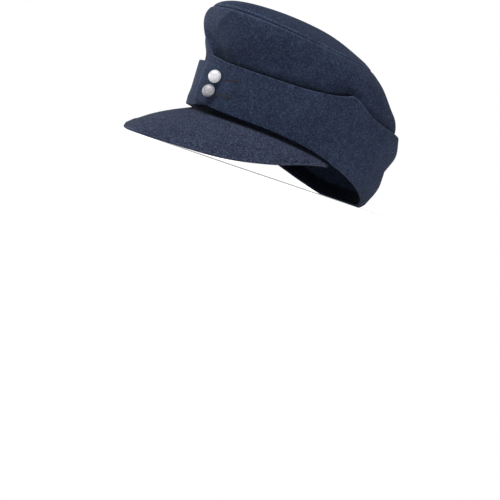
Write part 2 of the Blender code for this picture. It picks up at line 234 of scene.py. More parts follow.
# %% Rows of the flap
FlapRow = namedtuple("FlapRow", "angle lift top turn_in off_fold off_low off_crease off_high off_top")
LEFT_FLAP = (
    FlapRow(-6.5, 6.1, 90.4, 0.0, 7.2, 7.0, 6.8, 6.6, 6.4),
    FlapRow(0.0, 5.6, 89.6, 0.0, 7.0, 6.9, 6.7, 6.6, 6.4),
    FlapRow(9.0, 4.0, 87.4, 0.0, 6.6, 6.8, 6.7, 6.6, 6.4),
    FlapRow(17.0, 2.8, 86.8, 0.0, 6.2, 6.4, 6.4, 6.3, 6.0),
    FlapRow(30.0, 2.0, 86.3, 0.0, 4.6, 4.9, 4.8, 4.4, 3.8),
    FlapRow(58.0, 1.4, 87.0, 0.0, 3.6, 4.4, 4.6, 4.2, 3.2),
    FlapRow(74.0, 0.9, 90.0, 0.0, 3.5, 4.2, 4.6, 4.4, 3.2),
    FlapRow(82.0, 0.4, 93.0, 0.0, 3.5, 4.2, 4.6, 4.4, 3.2),
    FlapRow(87.5, 0.0, 96.0, 0.0, 3.5, 4.2, 4.6, 4.4, 3.2),
    FlapRow(91.0, 0.0, 93.0, 90.0, 3.5, 4.4, 4.6, 4.6, 3.4),
    FlapRow(96.0, 0.0, 88.0, 90.0, 3.5, 4.4, 4.6, 4.6, 3.4),
    FlapRow(102.0, 0.0, 83.5, 90.0, 3.5, 4.6, 4.6, 5.0, 3.6),
    FlapRow(112.0, 0.0, 80.0, 90.0, 3.5, 5.0, 4.6, 5.6, 3.8),
    FlapRow(130.0, 0.0, 77.4, 90.0, 3.6, 5.4, 4.2, 6.6, 4.0),
    FlapRow(150.0, 0.0, 75.2, 90.0, 3.8, 5.6, 3.6, 7.2, 4.2),
    FlapRow(180.0, 0.0, 73.0, 90.0, 3.8, 5.6, 3.8, 7.0, 4.2),
)
RIGHT_FRONT = (
    FlapRow(-13.0, 5.4, 83.0, 0.0, 3.5, 3.3, 3.3, 3.2, 3.2),
    FlapRow(0.0, 3.8, 83.6, 0.0, 3.7, 3.4, 3.4, 3.3, 3.4),
    FlapRow(12.0, 1.0, 84.0, 0.0, 4.0, 3.6, 3.5, 3.6, 3.8),
    FlapRow(24.0, 0.8, 84.0, 0.0, 4.8, 3.7, 3.6, 3.9, 4.4),
    FlapRow(40.0, 0.8, 84.8, 0.0, 4.8, 4.0, 4.2, 4.4, 4.2),
    FlapRow(58.0, 0.8, 87.4, 0.0, 4.0, 4.4, 4.6, 4.2, 3.4),
)
RIGHT_FLAP = RIGHT_FRONT + tuple(row for row in LEFT_FLAP if row.angle > RIGHT_FRONT[-1].angle)
FLAP_CLOTH = 2.4
BACK_SEAM_ANGLE = 179.93
ROLL_ARC = 5.0
ROLL_RUN = 2.6
ROLL_SHARE = 0.16
STRAIGHT_BEND = 1e-4
StandOff = namedtuple("StandOff", "out")


def at_angle(table, angle):
    """Reads the flap's rows at an angle, on a smooth curve that never passes beyond a row."""
    last = len(table) - 1
    lower = 0
    while lower < last - 1 and angle > table[lower + 1].angle:
        lower += 1
    start, end = table[lower], table[lower + 1]
    gap = end.angle - start.angle
    share = min(1.0, max(0.0, (angle - start.angle) / gap))
    before = table[max(0, lower - 1)]
    after = table[min(last, lower + 2)]
    values = []
    for first, second, third, fourth in zip(before, start, end, after):
        slope_start = (third - first) / (end.angle - before.angle) * gap
        slope_end = (fourth - second) / (after.angle - start.angle) * gap
        smooth = smooth_curve(share, second, third, slope_start, slope_end)
        values.append(min(max(smooth, min(second, third)), max(second, third)))
    return FlapRow(*values)


def stand_off(row, share):
    """How far the flap's outer face stands off the crown, at a share of its height."""
    heights = (row.off_fold, row.off_low, row.off_crease, row.off_high, row.off_top)
    offs = [StandOff(value) for value in heights]
    return between_rows(offs, share * (len(offs) - 1)).out


def rolled_edge(turn_in, share):
    """Out and up along the flap's rolled lower end, from its inner end at share 0."""
    turn = math.radians(turn_in)
    whole = ROLL_ARC + ROLL_RUN
    back = whole * (1.0 - share)
    length = min(back, ROLL_ARC)
    angle = turn * length / ROLL_ARC
    bend = turn / ROLL_ARC
    if bend > STRAIGHT_BEND:
        out, up = -(1.0 - math.cos(angle)) / bend, -math.sin(angle) / bend
    else:
        out, up = 0.0, -length
    run = back - length
    return out - math.sin(turn) * run, up - math.cos(turn) * run


def off_crown(angle, height, distance):
    """A point at a height and a distance out from the crown's smooth face."""
    level = level_at(angle, max(height, rim_height(angle)))
    point = ring_point(angle, level) + outward(angle, level) * distance
    point.z = height
    return point


print("flap height on the wearer's left", at_angle(LEFT_FLAP, 90.0).top, "mm")

# %% [markdown]
# Cloth shows its weight in its folds. Each fold here is a smooth ridge or dent round a line
# that leans as it climbs. The big ones come from the solids, and small ones are added. The
# sharpest is the crease in front, where the soft crown has been pressed flat again and again.
# Folds could be sculpted by hand, but a list of them is easy to read, and any one of them can
# be moved without touching the rest.

# %% Folds of the crown
Fold = namedtuple("Fold", "angle height half_angle half_height rise lean")
CREASE = Fold(-12.5, 101.0, 2.0, 13.0, 2.4, -0.64)
FOLDS = (
    Fold(-17.0, 110.0, 8.0, 26.0, 3.0, -0.32),
    Fold(5.0, 130.0, 7.0, 14.0, 1.2, 0.60),
    Fold(30.0, 95.0, 26.0, 13.0, -2.6, 0.0),
    Fold(-46.0, 98.0, 20.0, 13.0, -2.2, 0.0),
    Fold(92.0, 100.0, 20.0, 13.0, -2.2, 0.0),
    Fold(-92.0, 100.0, 20.0, 13.0, -2.2, 0.0),
    Fold(158.0, 106.0, 30.0, 12.0, -1.6, 0.0),
    CREASE,
    Fold(-7.5, 102.0, 4.0, 15.0, -2.0, -0.64),
    Fold(-42.0, 97.0, 15.0, 12.0, 3.8, 0.0),
    Fold(3.5, 126.0, 2.4, 12.0, 0.9, 0.66),
    Fold(9.0, 124.0, 3.6, 12.0, -0.9, 0.50),
    Fold(24.0, 92.5, 22.0, 5.5, -1.8, 0.0),
    Fold(74.0, 98.0, 16.0, 8.0, -1.8, 0.0),
    Fold(108.0, 92.0, 16.0, 12.0, -2.0, -0.4),
    Fold(18.0, 98.0, 5.0, 7.0, -0.9, 0.5),
    Fold(40.0, 97.0, 6.0, 6.0, -0.7, -0.4),
    Fold(64.0, 103.0, 7.0, 9.0, 0.8, 0.5),
    Fold(86.0, 103.0, 5.0, 8.0, -1.0, -0.5),
    Fold(112.0, 97.0, 8.0, 14.0, 0.9, 0.3),
    Fold(136.0, 99.0, 9.0, 12.0, -0.8, -0.4),
    Fold(-34.0, 104.0, 6.0, 10.0, 0.8, -0.4),
    Fold(-68.0, 105.0, 8.0, 10.0, 0.9, 0.4),
    Fold(-118.0, 98.0, 9.0, 13.0, 0.9, -0.3),
    Fold(-150.0, 100.0, 9.0, 12.0, -0.7, 0.4),
)
CREASE_HIGHLIGHT_HALF = 1.3
FOLDS_START = 88.0
FOLDS_FULL = 100.0


def crease_highlight_share(angle, height):
    """1 on the crest of the sharp crease in front, where a painted highlight makes it paler."""
    line = CREASE.angle + CREASE.lean * (height - CREASE.height)
    return bump(angle, line, CREASE_HIGHLIGHT_HALF) * bump(height, CREASE.height, CREASE.half_height)


def fold_rise(angle, height):
    """How far the folds push the crown's face out, above the buttoned flap."""
    total = 0.0
    for fold in FOLDS:
        line = fold.angle + fold.lean * (height - fold.height)
        turn = (angle - line + 180.0) % 360.0 - 180.0
        total += fold.rise * math.exp(
            -((turn / fold.half_angle) ** 2) - ((height - fold.height) / fold.half_height) ** 2
        )
    return total * smooth_step(height, FOLDS_START, FOLDS_FULL)


print(len(FOLDS), "folds, the crease rises", round(fold_rise(CREASE.angle, CREASE.height), 2), "mm")

# %% [markdown]
# The buttoned flap grips the crown, so just above its upper edge the crown's cloth is drawn
# in and swells out again higher up. On the wearer's right and at the back the photograph
# doesn't show this, and there the tuck is only slight. It could be one more row of the crown,
# but it is measured from the flap's own upper edge, which rises and falls round the cap.
# Last, a slow waviness is added.

# %% Tuck above the flap
TUCK_DEPTH = 2.6
TUCK_DEPTH_BACK = 0.6
TUCK_REACH = 10.0
TUCK_HIDDEN = 20.0
TUCK_FADE_START = 92.0
TUCK_FADE_END = 120.0
TUCK_RIGHT_START = 8.0
TUCK_RIGHT_END = 26.0
WAVE_LENGTH = 46.0
WAVE_HEIGHT = 0.55
CALM_LEVELS = 2.0
LAST_OUTWARD_LEVEL = APEX_LEVEL - 0.3


def flap_top(angle):
    """The height of the flap's upper edge, of whichever half lies outside."""
    if angle >= LEFT_FLAP[0].angle:
        return at_angle(LEFT_FLAP, angle).top
    return at_angle(RIGHT_FLAP, -angle).top


def tuck_share(angle, height, reach):
    """1 where the crown goes in behind the flap's upper edge, 0 from a reach above it."""
    above = height - flap_top(angle)
    below_edge = smooth_step(above, -TUCK_HIDDEN, -TUCK_HIDDEN / 2.0)
    return below_edge * (1.0 - smooth_step(above, 0.0, reach))


def tuck_depth(angle, height):
    """How far the flap's grip draws the crown in, most from the front to the left ear."""
    behind = smooth_step(angle, TUCK_FADE_START, TUCK_FADE_END)
    over_right = smooth_step(-angle, TUCK_RIGHT_START, TUCK_RIGHT_END)
    depth = TUCK_DEPTH + (TUCK_DEPTH_BACK - TUCK_DEPTH) * max(behind, over_right)
    return depth * tuck_share(angle, height, TUCK_REACH)


def crown_point(angle, level):
    """A point on the crown's outer face, with its folds, its tuck and its waviness."""
    point = ring_point(angle, level)
    fade = smooth_step(APEX_LEVEL - level, 0.0, CALM_LEVELS)
    wave = WAVE_HEIGHT * noise.noise(point / WAVE_LENGTH)
    wave *= smooth_step(point.z, FOLDS_START, FOLDS_FULL)
    rise = (fold_rise(angle, point.z) + wave) * fade - tuck_depth(angle, point.z)
    return point + outward(angle, min(level, LAST_OUTWARD_LEVEL)) * rise


print("tuck in front", round(tuck_depth(30.0, flap_top(30.0)), 2), "mm deep")

# %% [markdown]
# Every cloth piece starts as a flat bmesh grid, the way a pattern piece starts as flat
# cloth. Each vertex is then carried to its place by a function of its two shares of the
# grid, along and across, which are also its place on the cloth's own UV map. Each vertex
# keeps a number for painted light and wear too: above 0 it is paler, as a painted highlight
# on the flap's edges and the crease and as a paler roll by the seams, and below 0 darker,
# as painted shade in the tucks, recesses and seam grooves. Faces could be listed one by
# one, but a grid has them already, joined and in order.

# %% Grid helper
MERGE_DISTANCE = 1e-6


def sheet_mesh(name, columns, rows, place, painted_light_and_wear, closed=False, flip=False):
    """A grid of cloth: place gives each point, and the function after it each point's painted
    highlight, painted shade and wear, from shares 0 to 1.
    """
    mesh = bmesh.new()
    uv_layer = mesh.loops.layers.uv.new("UVMap")
    # A number per vertex: painted highlight above 0, painted shade below 0, with some wear.
    light_and_wear_layer = mesh.verts.layers.float.new("painted_light_and_wear")
    bmesh.ops.create_grid(mesh, x_segments=columns, y_segments=rows, size=0.5)
    shares = {}
    for vertex in mesh.verts:
        shares[vertex.index] = (vertex.co.x + 0.5, vertex.co.y + 0.5)
    for face in mesh.faces:
        for loop in face.loops:
            loop[uv_layer].uv = shares[loop.vert.index]
    for vertex in mesh.verts:
        vertex[light_and_wear_layer] = painted_light_and_wear(*shares[vertex.index])
        vertex.co = to_world(place(*shares[vertex.index]))
    if closed:
        bmesh.ops.remove_doubles(mesh, verts=mesh.verts, dist=MERGE_DISTANCE)
    if flip:
        bmesh.ops.reverse_faces(mesh, faces=mesh.faces)
    data = bpy.data.meshes.new(name)
    mesh.to_mesh(data)
    mesh.free()
    data.shade_smooth()
    piece = bpy.data.objects.new(name, data)
    bpy.context.scene.collection.objects.link(piece)
    return piece


# %% [markdown]
# A grid has no thickness. Solidify adds it on the inner side, so that the outer face stays
# where it was placed, and Bevel rounds the cut edge that Solidify makes, as a turned-in
# hem is round. Both stay modifiers, so that the thin sheet under them can still be measured.

# %% Thickness
CROWN_CLOTH = 2.4
WOOL_ROUNDING = 0.85
ROUNDING_SEGMENTS = 3
SHARP_ANGLE = math.radians(50.0)


def thicken(piece, thickness, rounding):
    """Gives a sheet its thickness inwards and rounds its edges."""
    solidify = piece.modifiers.new("cloth", "SOLIDIFY")
    solidify.thickness = thickness * MM
    solidify.offset = -1.0
    solidify.use_even_offset = True
    bevel = piece.modifiers.new("rolled edge", "BEVEL")
    bevel.width = rounding * MM
    bevel.segments = ROUNDING_SEGMENTS
    bevel.limit_method = "ANGLE"
    bevel.angle_limit = SHARP_ANGLE


# %% [markdown]
# The crown's side is one tube of cloth from the rim up to the top seam. Just below the seam
# the cloth turns in, because it is folded back and sewn from inside, which leaves a fine
# groove with a soft roll on either side of it. Behind the ears its foot stands a little
# higher than the rim, to leave room for the flap's rolled edge. It could be cut as several
# panels, but the photograph shows no seam in its side, so one grid is bent right round, and
# its two ends are merged at the back.

# %% Crown side
SEAM_TURN = 2.8
SEAM_DEPTH = 2.2
WALL_DOWN_ANGLE = 74.0
WALL_UP_ANGLE = 84.0
FOOT_RAISED = 4.4
CROWN_COLUMNS = 288
CROWN_LEVELS = 96
LEVELS_CROWD = 1.3
GROOVE_HALF = 1.1
SEAM_PALE = 0.6
SEAM_PALE_AT = 2.2
SEAM_PALE_HALF = 0.8
RECESS_FULL = 7.0
RECESS_END = 11.0
TUCK_SHADE = 3.5
TUCK_SOFT_SHADE = 18.0
TUCK_SOFT_SHADE_STRENGTH = 0.30
CREASE_HIGHLIGHT = 0.5


def seam_roll(distance):
    """How far cloth sinks towards a seam, at a distance from it."""
    share = max(0.0, 1.0 - distance / SEAM_TURN)
    return SEAM_DEPTH * share * share


def seam_shade_and_pale(distance):
    """Painted shade in the groove of the seam, and paler on the roll beside it."""
    # Painted shade in the groove; the roll beside it is painted paler.
    painted_groove_shade = 1.0 - smooth_step(distance, GROOVE_HALF / 2.0, GROOVE_HALF)
    return SEAM_PALE * bump(distance, SEAM_PALE_AT, SEAM_PALE_HALF) - painted_groove_shade


def crown_side_level(along, across):
    """The angle, foot and level of a point of the crown's side, its rows closer near the seam."""
    angle = -180.0 + 360.0 * along
    foot = rim_height(angle) + FOOT_RAISED * smooth_step(abs(angle), WALL_DOWN_ANGLE, WALL_UP_ANGLE)
    first = level_at(angle, foot)
    return angle, foot, first + (TOP_SEAM_LEVEL - first) * (1.0 - (1.0 - across) ** LEVELS_CROWD)


def crown_side_place(along, across):
    """A point of the crown's side, sunk where it comes to the top seam."""
    angle, foot, level = crown_side_level(along, across)
    point = crown_point(angle, level)
    if across == 0.0:
        point.z = foot
    from_seam = (crown_point(angle, TOP_SEAM_LEVEL) - point).length
    return point - outward(angle, level) * seam_roll(from_seam)


def crown_side_shade_and_pale(along, across):
    """Painted shade behind the flap's upper edge, at the foot and in the seam's groove, a painted
    highlight on the crease, and paler beside the seam.
    """
    angle, foot, level = crown_side_level(along, across)
    point = crown_point(angle, level)
    from_seam = (crown_point(angle, TOP_SEAM_LEVEL) - point).length
    # Painted shade at the crown's foot, in the recess behind the flap and the peak.
    painted_recess_shade = 1.0 - smooth_step(point.z - foot, RECESS_FULL, RECESS_END)
    # Painted shade on the crown just above the flap's upper edge.
    painted_tuck_shade = max(
        tuck_share(angle, point.z, TUCK_SHADE),
        TUCK_SOFT_SHADE_STRENGTH * tuck_share(angle, point.z, TUCK_SOFT_SHADE),
    )
    # Painted highlight on the crest of the front crease.
    painted_crease_highlight = CREASE_HIGHLIGHT * crease_highlight_share(angle, point.z)
    return seam_shade_and_pale(from_seam) + painted_crease_highlight - max(painted_tuck_shade, painted_recess_shade)


crown_side = sheet_mesh(
    "crown_side_cloth", CROWN_COLUMNS, CROWN_LEVELS, crown_side_place, crown_side_shade_and_pale, closed=True
)
thicken(crown_side, CROWN_CLOTH, WOOL_ROUNDING)
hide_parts("crown_side")
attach(crown_side, "root")

# %% [markdown]
# The top is an oval of cloth, slightly domed. A filled oval would be simpler, but it has no
# points inside to lift into a dome. So this is a grid that runs round the cap and from the
# seam to the middle, where its last row closes to a point. Its columns are the side's
# columns, so that both edges follow each other along the seam.

# %% Crown top
TOP_ROWS = 52
TOP_CROWD = 1.45
TOP_GAP = 0.5
TOP_GAP_REACH = 12.0
NEXT_LEVEL = TOP_SEAM_LEVEL + 0.15


def crown_top_level(along, across):
    """The angle and level of a point of the top, its rows closer near the seam."""
    return -180.0 + 360.0 * along, TOP_SEAM_LEVEL + (APEX_LEVEL - TOP_SEAM_LEVEL) * across ** TOP_CROWD


def crown_top_place(along, across):
    """A point of the top, which starts a small gap inside the side's edge and sinks to it."""
    angle, level = crown_top_level(along, across)
    if across == 1.0:
        return ring_point(0.0, APEX_LEVEL)
    point = crown_point(angle, level)
    edge = crown_point(angle, TOP_SEAM_LEVEL)
    inward = (crown_point(angle, NEXT_LEVEL) - edge).normalized()
    distance = (point - edge).length
    point += inward * TOP_GAP * max(0.0, 1.0 - distance / TOP_GAP_REACH)
    point.z -= seam_roll(distance)
    return point


def crown_top_shade_and_pale(along, across):
    """Painted shade in the seam's groove and paler on the roll beside it."""
    angle, level = crown_top_level(along, across)
    return seam_shade_and_pale((ring_point(angle, level) - ring_point(angle, TOP_SEAM_LEVEL)).length)


crown_top = sheet_mesh(
    "crown_top_cloth", CROWN_COLUMNS, TOP_ROWS, crown_top_place, crown_top_shade_and_pale, closed=True
)
thicken(crown_top, CROWN_CLOTH, WOOL_ROUNDING)
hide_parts("crown_top")
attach(crown_top, "root")

# %% [markdown]
# The flap's surface is not quite smooth on the real cap. It swells over the cloth folded
# inside it, is drawn in at the buttons, and keeps a long shallow crease at the back where it
# has been folded. These are small changes of its distance from the crown. The swells and the
# crease fade out at the flap's edges, and an angle times a mean radius gives their lengths
# round the cap. A bump in the material could draw them, but they are deep enough to catch
# the light from the side, so the mesh itself has them.

# %% Surface of the flap
MIDDLE_RADIUS = 88.0
FRONT_RADIUS = 100.0
FlapWave = namedtuple("FlapWave", "height length_round length_up seed")
FLAP_WAVES = (
    FlapWave(0.55, 34.0, 26.0, 3.0),
    FlapWave(0.30, 15.0, 40.0, 9.0),
)
BACK_CREASE_DEPTH = 0.5
BACK_CREASE_SHARE = 0.44
BACK_CREASE_HALF = 0.035
BACK_CREASE_SWING = 0.05
BACK_CREASE_SWING_LENGTH = 27.0
BACK_CREASE_START = 100.0
BACK_CREASE_FULL = 150.0
CALM_SHARE_LOW = 0.15
CALM_SHARE_HIGH = 0.12
BUTTON_ANGLES = (7.9, 7.2)
BUTTON_HEIGHTS = (71.5, 57.3)
BUTTON_PULL = 0.9
BUTTON_PULL_RADIUS = 9.0


def flap_relief(angle, height, share):
    """Small swells in the flap's face and its old crease at the back, in millimetres."""
    across = math.radians(angle) * MIDDLE_RADIUS
    swell = 0.0
    for wave in FLAP_WAVES:
        place = Vector((across / wave.length_round, height / wave.length_up, wave.seed))
        swell += wave.height * noise.noise(place)
    crease_line = BACK_CREASE_SHARE + BACK_CREASE_SWING * math.sin(across / BACK_CREASE_SWING_LENGTH)
    crease = -BACK_CREASE_DEPTH * bump(share, crease_line, BACK_CREASE_HALF)
    crease *= smooth_step(abs(angle), BACK_CREASE_START, BACK_CREASE_FULL)
    fade = smooth_step(share, 0.0, CALM_SHARE_LOW) * smooth_step(1.0 - share, 0.0, CALM_SHARE_HIGH)
    return (swell + crease) * fade


def button_pull(angle, height):
    """The left half is drawn in a little under each button."""
    total = 0.0
    for button_angle, button_height in zip(BUTTON_ANGLES, BUTTON_HEIGHTS):
        across = math.radians(angle - button_angle) * FRONT_RADIUS
        reach = math.hypot(across, height - button_height) / BUTTON_PULL_RADIUS
        total -= BUTTON_PULL * math.exp(-reach * reach)
    return total


upper_pull = -button_pull(BUTTON_ANGLES[0], BUTTON_HEIGHTS[0])
print("the upper button draws the flap in", round(upper_pull, 2), "mm")

# %% [markdown]
# Each half is a grid that runs from its front end to the middle of the back. Its lowest rows
# follow the rolled edge and the others climb to the upper edge. A Mirror modifier could make
# the right half, but the halves differ in front, so one function makes both from their own
# rows. On the right side the grid comes out inside out, and its faces are turned round.

# %% Flap halves
FLAP_COLUMNS = 230
FLAP_ROWS = 56
ROLL_CHECKS = 8
# Strength of the painted highlight along the flap's upper edge and front end.
EDGE_HIGHLIGHT = 1.0


def flap_start(angle, row):
    """The height where the flap's face begins, above its rolled edge."""
    steps = [step / ROLL_CHECKS for step in range(ROLL_CHECKS + 1)]
    lowest = min(rolled_edge(row.turn_in, share)[1] for share in steps)
    return rim_height(angle) + row.lift - lowest


def flap_place(table, side, first, last):
    """The placing function of one half of the flap."""

    def place(along, across):
        own_angle = first + (last - first) * along
        row = at_angle(table, own_angle)
        angle = own_angle * side
        start = flap_start(angle, row)
        if across < ROLL_SHARE:
            out, up = rolled_edge(row.turn_in, across / ROLL_SHARE)
            return off_crown(angle, start + up, row.off_fold + out)
        share = (across - ROLL_SHARE) / (1.0 - ROLL_SHARE)
        height = start + (row.top - start) * share
        out = stand_off(row, share) + flap_relief(angle, height, share)
        if side > 0:
            out += button_pull(angle, height)
        return off_crown(angle, height, out)

    return place


def flap_edge_highlight(along, across):
    """A painted highlight along the upper edge and the front end."""
    from_top = (1.0 - across) * FLAP_ROWS
    from_end = along * FLAP_COLUMNS / 2.0
    return EDGE_HIGHLIGHT * max(0.0, 1.0 - min(from_top, from_end))


def make_flap(name, node, table, side):
    """One half of the flap, on the wearer's left for side 1 and on the right for side -1."""
    place = flap_place(table, side, table[0].angle, BACK_SEAM_ANGLE)
    piece = sheet_mesh(name, FLAP_COLUMNS, FLAP_ROWS, place, flap_edge_highlight, flip=side < 0)
    thicken(piece, FLAP_CLOTH, WOOL_ROUNDING)
    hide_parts(node)
    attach(piece, "root")
    return piece


flap_left = make_flap("flap_left_cloth", "flap_left", LEFT_FLAP, 1)
flap_right = make_flap("flap_right_cloth", "flap_right", RIGHT_FLAP, -1)

# %% [markdown]
# The peak is a stiff board wrapped in wool. A row gives, at equal steps of the angle, how
# far the peak reaches out from the rim and how far it drops on the way. Its profile falls
# gently near the crown and steeply at the edge. The half table is read both ways, because
# the peak is alike on both sides. A flat outline could be cut and then bent, but its edge
# would move as it bends, and here reach and drop are each set where they are wanted.

# %% Form of the peak
PeakRow = namedtuple("PeakRow", "reach drop")
PEAK_HALF = (
    PeakRow(62.6, 37.6),
    PeakRow(56.9, 36.8),
    PeakRow(45.2, 34.3),
    PeakRow(33.7, 25.4),
    PeakRow(16.9, 12.7),
    PeakRow(2.6, 1.9),
)
PEAK_ROWS = PEAK_HALF[:0:-1] + PEAK_HALF
PEAK_END_ANGLE = 88.0
PEAK_SEAT = -2.2
PEAK_STRAIGHT_FALL = 0.7
PEAK_FALL_POWER = 3.0
SEAM_GAP = 0.35


def peak_row(angle):
    """The peak's reach and drop at an angle."""
    share = (angle + PEAK_END_ANGLE) / (2.0 * PEAK_END_ANGLE)
    return between_rows(PEAK_ROWS, share * (len(PEAK_ROWS) - 1))


def peak_point(angle, share, depth):
    """A point at a share of the peak's reach, at a depth square to its upper face."""
    row = peak_row(angle)
    away = outward(angle, 0.0)
    span = row.reach - PEAK_SEAT
    point = ring_point(angle, 0.0) + away * (PEAK_SEAT + span * share)
    curved = 1.0 - PEAK_STRAIGHT_FALL
    fall = row.drop * (PEAK_STRAIGHT_FALL * share + curved * share ** PEAK_FALL_POWER)
    steepness = PEAK_STRAIGHT_FALL + curved * PEAK_FALL_POWER * share ** (PEAK_FALL_POWER - 1.0)
    slope = math.atan2(row.drop * steepness, span)
    point.z = rim_height(angle) - SEAM_GAP - fall
    below = Vector((0.0, 0.0, -math.cos(slope))) - away * math.sin(slope)
    point += below * depth
    point.z = max(point.z, 0.0)
    return point


print("the peak reaches out", peak_row(0.0).reach, "mm and drops", peak_row(0.0).drop, "mm")

# %% [markdown]
# The wool is drawn round the board's edge and sewn to the facing from below. Its outer band
# is a little puffed by the turnings inside it, which leaves a faint line round the peak about
# ten millimetres from its edge; that line is also painted darker, as painted shade. Wool and
# facing share the round edge: the seam between them lies just below its outermost line. One
# closed shell would be simpler, but two sheets leave the fine line of that seam. Both grids
# start at it and run to the crown.

# %% Wool and facing of the peak
PEAK_THICKNESS = 3.9
PEAK_CLOTH = 1.1
PEAK_ROUNDING = 0.3
PEAK_COLUMNS = 240
PEAK_LINES = 72
EDGE_SHARE = 0.12
EDGE_SEAM_TURN = 0.60
SEAM_SLIT = 0.03
BAND_WIDTH = 10.0
BAND_PUFF = 0.7
BAND_SOFT = 1.6
BAND_START_SPAN = 8.0
BAND_FULL_SPAN = 20.0
BAND_LINE_SHADE = 0.20
BAND_LINE_AT = BAND_WIDTH + 1.0
BAND_LINE_HALF = 0.9
BAND_LINE_START_SPAN = 20.0
BAND_LINE_FULL_SPAN = 40.0
PEAK_HIDDEN = 6.0
PEAK_HIDDEN_SOFT = 1.6
PEAK_EDGE_PALE = 0.25
PEAK_EDGE_PALE_AT = EDGE_SHARE * 0.5
PEAK_EDGE_PALE_HALF = EDGE_SHARE * 0.35


def band_puff(angle, share):
    """The swell of the peak's outer band, in millimetres above the board."""
    span = peak_row(angle).reach - PEAK_SEAT
    from_edge = span * (1.0 - share)
    rise = 1.0 - smooth_step(from_edge, BAND_WIDTH - BAND_SOFT, BAND_WIDTH + BAND_SOFT)
    return BAND_PUFF * rise * smooth_step(span, BAND_START_SPAN, BAND_FULL_SPAN)


def peak_place(turn_start, turn_end, under):
    """Places a grid that starts on the round edge at one turn and runs to the crown."""
    radius = PEAK_THICKNESS / 2.0

    def place(along, across):
        angle = PEAK_END_ANGLE * (2.0 * along - 1.0)
        span = peak_row(angle).reach - PEAK_SEAT
        last = 1.0 - radius / span
        if across < EDGE_SHARE:
            turn = math.pi * (turn_start + (turn_end - turn_start) * across / EDGE_SHARE)
            depth = radius * (1.0 - math.cos(turn))
            return peak_point(angle, last + radius / span * math.sin(turn), depth)
        share = last * (1.0 - (across - EDGE_SHARE) / (1.0 - EDGE_SHARE))
        if under:
            return peak_point(angle, share, PEAK_THICKNESS)
        return peak_point(angle, share, -band_puff(angle, share))

    return place


def peak_shade_and_pale(along, across):
    """Painted shade where the peak goes in under the flap and on the line of its outer band, and paler
    on its round edge.
    """
    angle = PEAK_END_ANGLE * (2.0 * along - 1.0)
    span = peak_row(angle).reach - PEAK_SEAT
    share = 1.0 - max(0.0, across - EDGE_SHARE) / (1.0 - EDGE_SHARE)
    # Painted shade where the peak goes in under the flap.
    painted_recess_shade = 1.0 - smooth_step(span * share, PEAK_HIDDEN, PEAK_HIDDEN + PEAK_HIDDEN_SOFT)
    # Painted shade along the line of the puffed outer band.
    band = bump(span * (1.0 - share), BAND_LINE_AT, BAND_LINE_HALF)
    band *= smooth_step(span, BAND_LINE_START_SPAN, BAND_LINE_FULL_SPAN)
    pale_edge = bump(across, PEAK_EDGE_PALE_AT, PEAK_EDGE_PALE_HALF)
    return PEAK_EDGE_PALE * pale_edge - painted_recess_shade - BAND_LINE_SHADE * band


def no_painted_light_or_wear(along, across):
    """The facing gets no painted light and no wear."""
    return 0.0


wool_place = peak_place(EDGE_SEAM_TURN, 0.0, False)
peak_wool = sheet_mesh("peak_wool", PEAK_COLUMNS, PEAK_LINES, wool_place, peak_shade_and_pale)
thicken(peak_wool, PEAK_CLOTH, PEAK_ROUNDING)
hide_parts("peak_top")
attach(peak_wool, "root")

under_place = peak_place(EDGE_SEAM_TURN + SEAM_SLIT, 1.0, True)
peak_under = sheet_mesh("peak_under", PEAK_COLUMNS, PEAK_LINES, under_place, no_painted_light_or_wear, flip=True)
thicken(peak_under, PEAK_CLOTH, PEAK_ROUNDING)
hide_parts("peak_facing")
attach(peak_under, "root")

# %% [markdown]
# The buttons are turned: one half of the section is drawn as a line of edges and spun round
# the button's axis, as on a lathe. A flattened sphere would give the dome, but not the fine
# rim round it. The dome is grained all over, so each vertex of it is raised or sunk by a fine
# noise, and finer grain is left to the material's bump. A button on its thread never sits
# quite square, so each has its own lean and tip.

# %% Buttons
BUTTON_RADIUS = 6.0
BUTTON_TOP = 3.7
BUTTON_BACK = 1.3
BUTTON_RIM_WIDTH = 0.7
DOME_RADIUS = BUTTON_RADIUS - BUTTON_RIM_WIDTH
RimPoint = namedtuple("RimPoint", "past_dome above_back")
BUTTON_RIM = (
    RimPoint(0.05, -0.02),
    RimPoint(0.22, 0.10),
    RimPoint(0.45, 0.10),
    RimPoint(0.64, -0.02),
    RimPoint(0.70, -0.20),
    RimPoint(0.62, -0.40),
)
SHANK_RADIUS = 1.5
SHANK_LENGTH = 2.4
BUTTON_CLEARANCE = 0.3
BUTTON_SPIN = 96
DOME_RINGS = 26
GRAIN_SIZE = 0.62
GRAIN_DEPTH = 0.085
GRAIN_MARGIN = 0.1
GRAIN_FULL = 0.8
GRAIN_SHIFT = 5.0
TURNING_MERGE = 1e-5
ButtonPlace = namedtuple("ButtonPlace", "name angle height lean tip")
BUTTONS = (
    ButtonPlace("button_upper", BUTTON_ANGLES[0], BUTTON_HEIGHTS[0], 27.0, 0.0),
    ButtonPlace("button_lower", BUTTON_ANGLES[1], BUTTON_HEIGHTS[1], 23.0, 11.0),
)


def button_section():
    """Out and up along half of the button's section, from its top to its shank's end."""
    rise = BUTTON_TOP - BUTTON_BACK
    section = []
    for ring in range(DOME_RINGS):
        tilt = math.pi / 2.0 * ring / DOME_RINGS
        section.append((DOME_RADIUS * math.sin(tilt), BUTTON_BACK + rise * math.cos(tilt)))
    section += [(DOME_RADIUS + point.past_dome, BUTTON_BACK + point.above_back) for point in BUTTON_RIM]
    section += [
        (DOME_RADIUS, 0.0),
        (SHANK_RADIUS, 0.0),
        (SHANK_RADIUS, -SHANK_LENGTH),
        (0.0, -SHANK_LENGTH),
    ]
    return section


